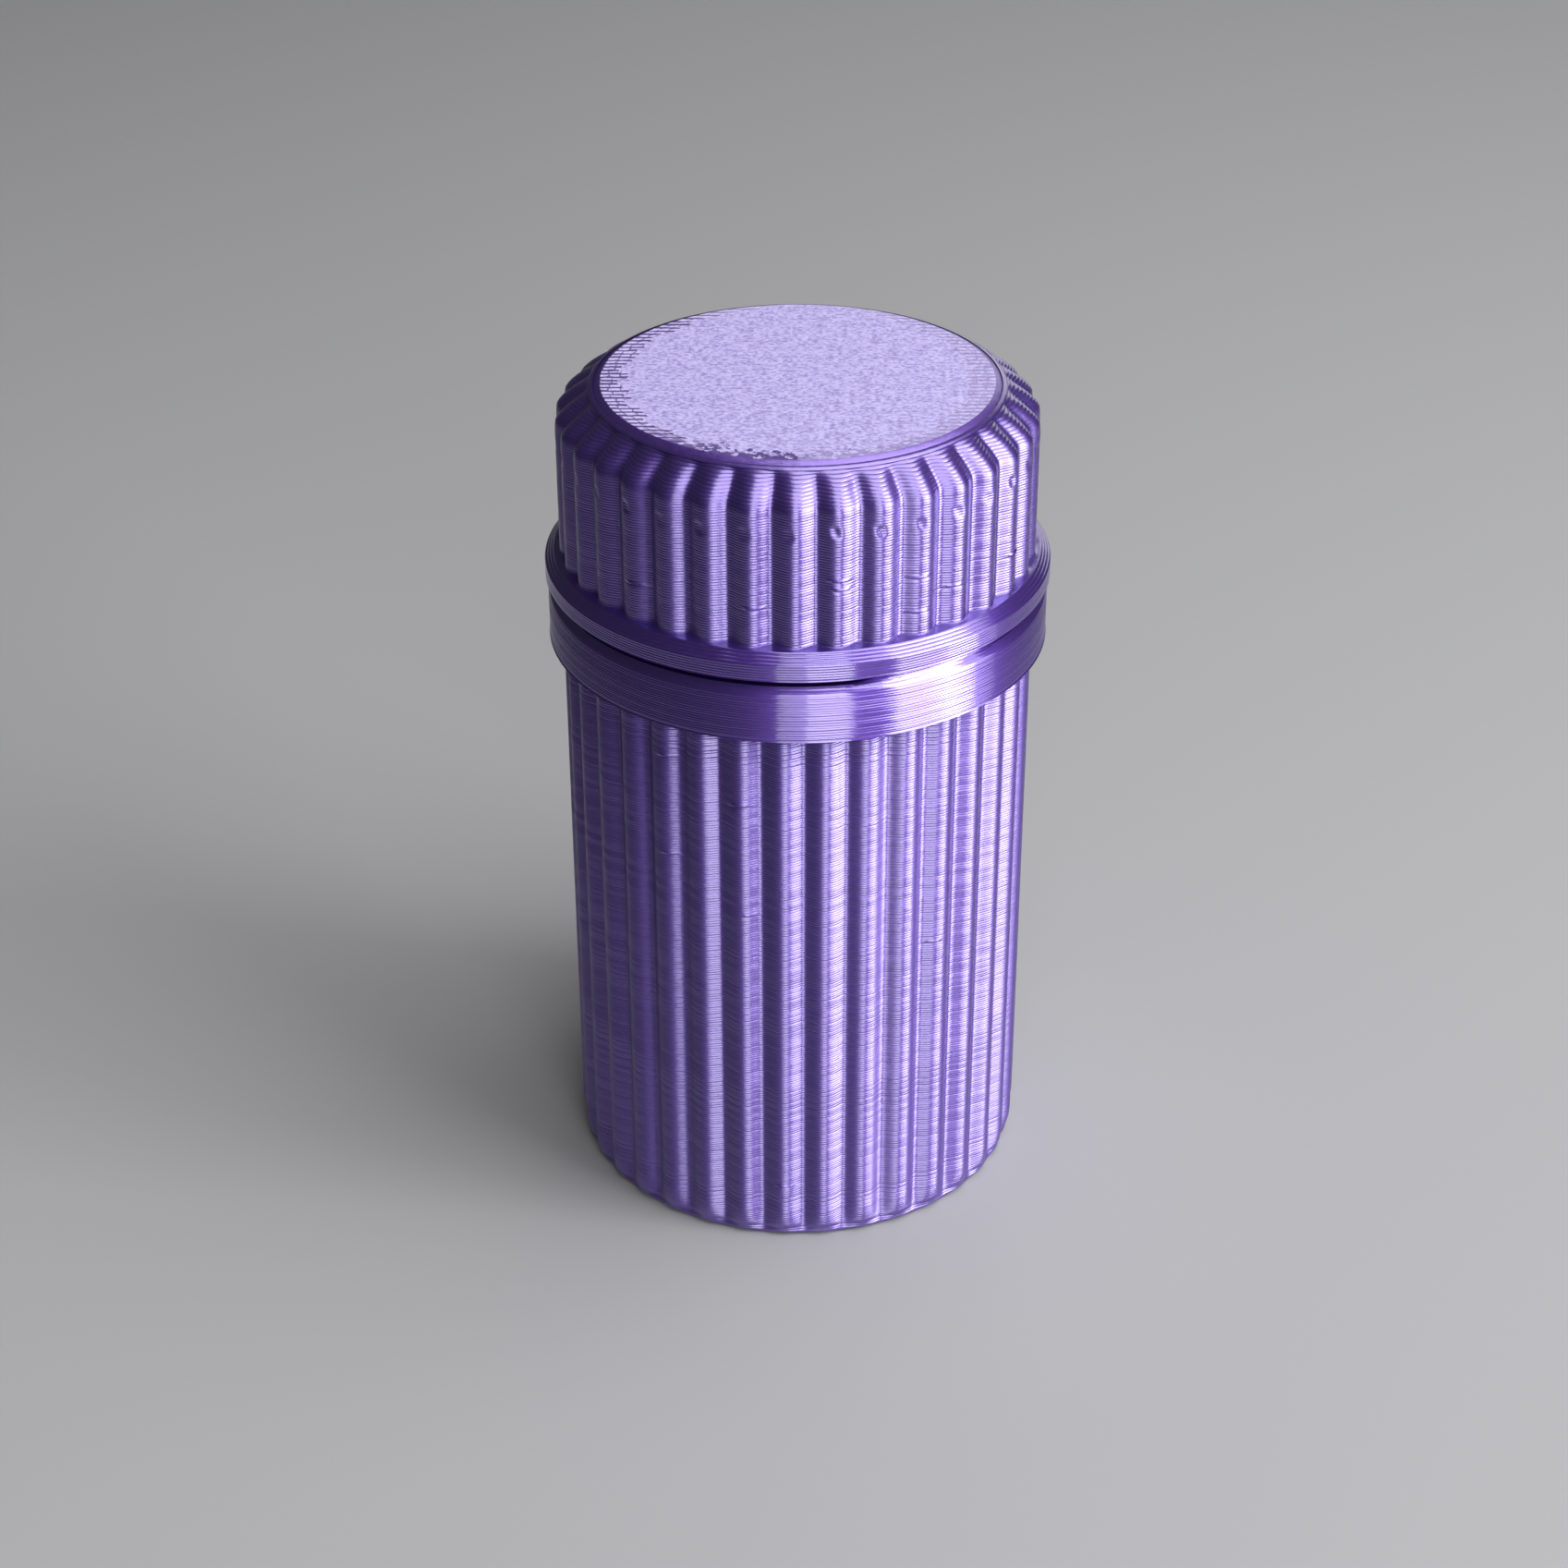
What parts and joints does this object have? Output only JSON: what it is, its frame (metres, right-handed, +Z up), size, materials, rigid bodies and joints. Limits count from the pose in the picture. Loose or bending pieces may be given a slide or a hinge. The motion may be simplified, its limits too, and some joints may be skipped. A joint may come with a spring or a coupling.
{
  "type": "eye drop bottle holder",
  "caption": "Closed ribbed container with a ribbed screw lid, a plain collar and a round well that carries one small dropper bottle.",
  "frame": {"origin": "centre of the foot, on the surface that the holder stands on", "axes": "+Z up along the line that the lid turns about and rises on; -Y faces the picture's camera"},
  "size_m": [0.0384, 0.0384, 0.066],
  "materials": {
    "container_plastic": "silk violet printed plastic, satin, with fine level layer lines",
    "lid_plastic": "silk violet printed plastic, satin, with fine level layer lines and a paler, finely speckled flat top",
    "ring_plastic": "silk violet printed plastic, satin"
  },
  "bodies": {
    "container": {"container_body": "container_plastic"},
    "lid_carrier": {"lid_stop_ring": "ring_plastic"},
    "lid": {"screw_lid": "lid_plastic"}
  },
  "joints": [
    {"name": "lid_lift", "type": "slide", "parent": "container", "child": "lid_carrier", "axis": [0, 0, 1], "range_m": [0, 0.0151]},
    {"name": "lid_turn", "type": "hinge", "parent": "lid_carrier", "child": "lid", "pos_m": [0, 0, 0.0508], "axis": [0, 0, 1], "range_deg": [0, 1800]}
  ],
  "couplings": [
    {"joint": "lid_lift", "follows": "lid_turn", "m_per_rad": 0.00047746}
  ]
}
